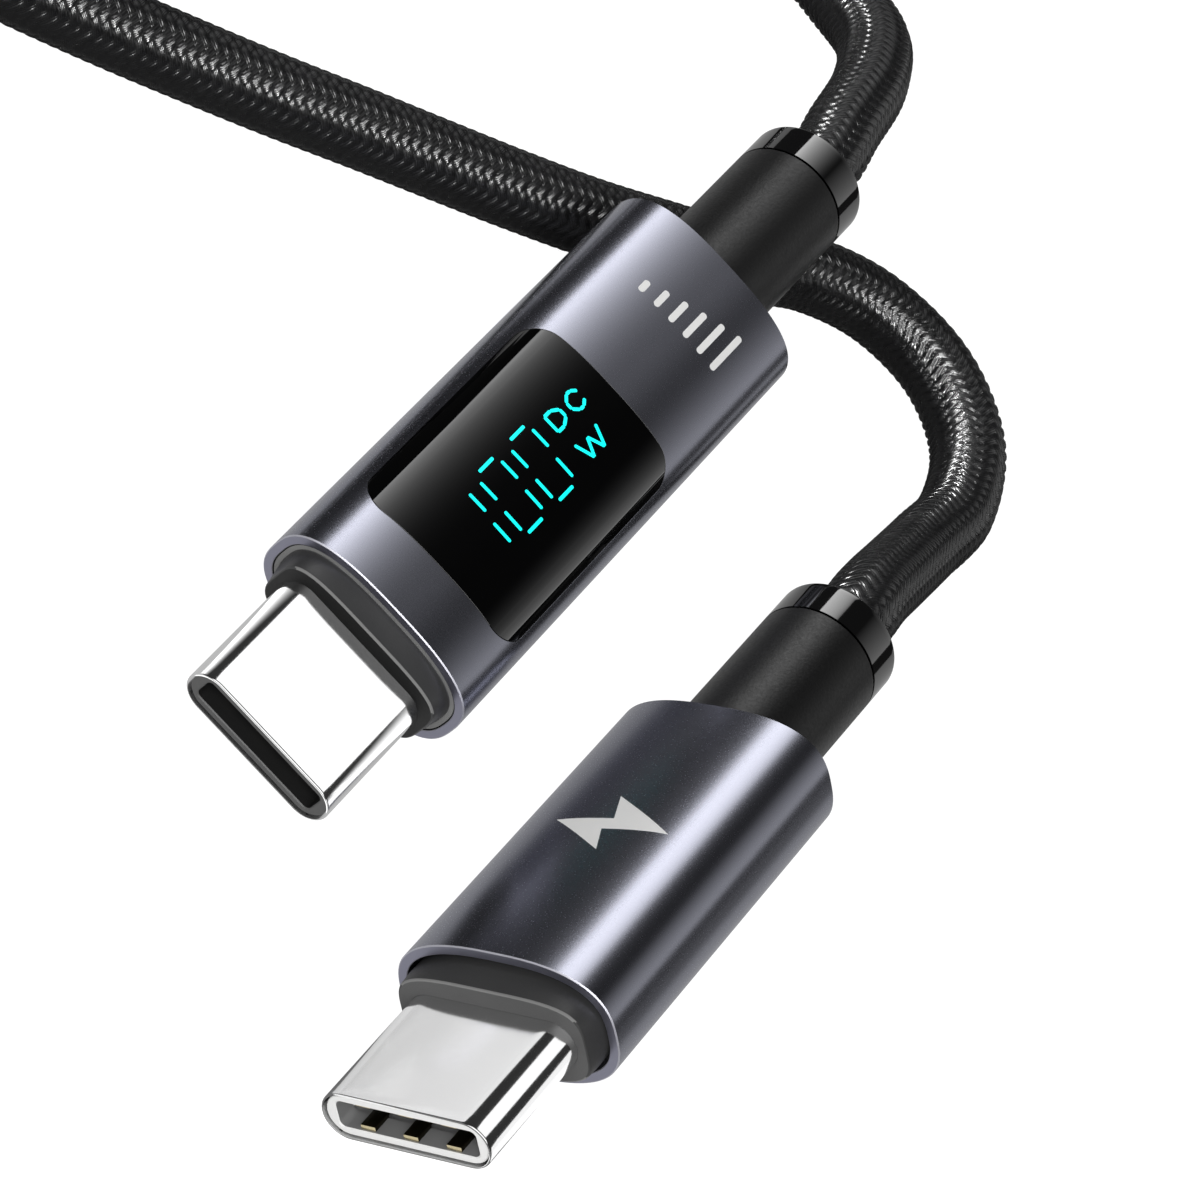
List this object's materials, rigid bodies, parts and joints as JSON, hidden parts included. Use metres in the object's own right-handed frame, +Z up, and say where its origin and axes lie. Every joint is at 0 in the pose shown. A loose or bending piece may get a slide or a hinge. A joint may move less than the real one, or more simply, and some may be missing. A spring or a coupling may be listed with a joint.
{
  "type": "usb power meter",
  "caption": "Braided USB-C charging cable whose one plug is a watt meter with a lit display under a glossy window, and whose other end is a plain plug.",
  "frame": {"origin": "centre of the meter head's box, at the surface that the object lies on", "axes": "+Y along the meter head from its plug towards its cable, +X across the display, +Z up"},
  "size_m": [0.1109, 0.0795, 0.0107],
  "materials": {
    "anodised_aluminium": "satin anodised, dark blue grey",
    "nickel_plate": "polished nickel plate",
    "gold_plate": "gold plated spring metal",
    "spring_steel": "bare spring steel",
    "copper": "copper",
    "dark_plastic": "moulded, fine matte",
    "dark_insulator": "moulded, matte",
    "pale_insulator": "moulded, matte",
    "circuit_board": "green solder mask",
    "chip": "moulded epoxy",
    "display_glass": "black glossy window",
    "display_white": "white reflector",
    "boot_rubber": "matte elastomer",
    "gloss_collar": "polished black",
    "black_braid": "braided nylon",
    "strap_fabric": "hook and loop strap",
    "red_wire": "insulated wire",
    "black_wire": "insulated wire",
    "blue_wire": "insulated wire",
    "white_wire": "insulated wire"
  },
  "bodies": {
    "root": {"cable_coil": "black_braid", "cable_far_end": "black_braid", "cable_meter_end": "black_braid", "coil_tie_far": "strap_fabric", "coil_tie_near": "strap_fabric", "far_board": "circuit_board", "far_boot_collar": "gloss_collar", "far_cable_tail": "black_braid", "far_contacts_lower": "gold_plate", "far_contacts_upper": "gold_plate", "far_crimp_ring": "copper", "far_data_pair": "white_wire", "far_emi_spring_lower": "gold_plate", "far_emi_spring_upper": "gold_plate", "far_front_insert": "dark_plastic", "far_ground_wire": "black_wire", "far_inner_mould": "dark_plastic", "far_latch_plate": "spring_steel", "far_marker_chip": "chip", "far_plug_insulator": "pale_insulator", "far_plug_shell": "nickel_plate", "far_sense_wire": "blue_wire", "far_sleeve": "anodised_aluminium", "far_strain_relief": "boot_rubber", "far_supply_wire": "red_wire", "meter_boot_collar": "gloss_collar", "meter_cable_tail": "black_braid", "meter_chassis_lower": "dark_plastic", "meter_chassis_upper": "dark_plastic", "meter_contacts_lower": "gold_plate", "meter_contacts_upper": "gold_plate", "meter_controller_chip": "chip", "meter_crimp_ring": "copper", "meter_data_pair": "white_wire", "meter_diffuser_film": "display_white", "meter_display_module": "display_white", "meter_display_window": "display_glass", "meter_emi_spring_lower": "gold_plate", "meter_emi_spring_upper": "gold_plate", "meter_front_insert": "dark_plastic", "meter_ground_wire": "black_wire", "meter_latch_plate": "spring_steel", "meter_main_board": "circuit_board", "meter_marker_chip": "chip", "meter_plug_insulator": "dark_insulator", "meter_plug_shell": "nickel_plate", "meter_sense_wire": "blue_wire", "meter_shunt_resistor": "chip", "meter_sleeve": "anodised_aluminium", "meter_strain_relief": "boot_rubber", "meter_supply_wire": "red_wire"}
  },
  "joints": []
}
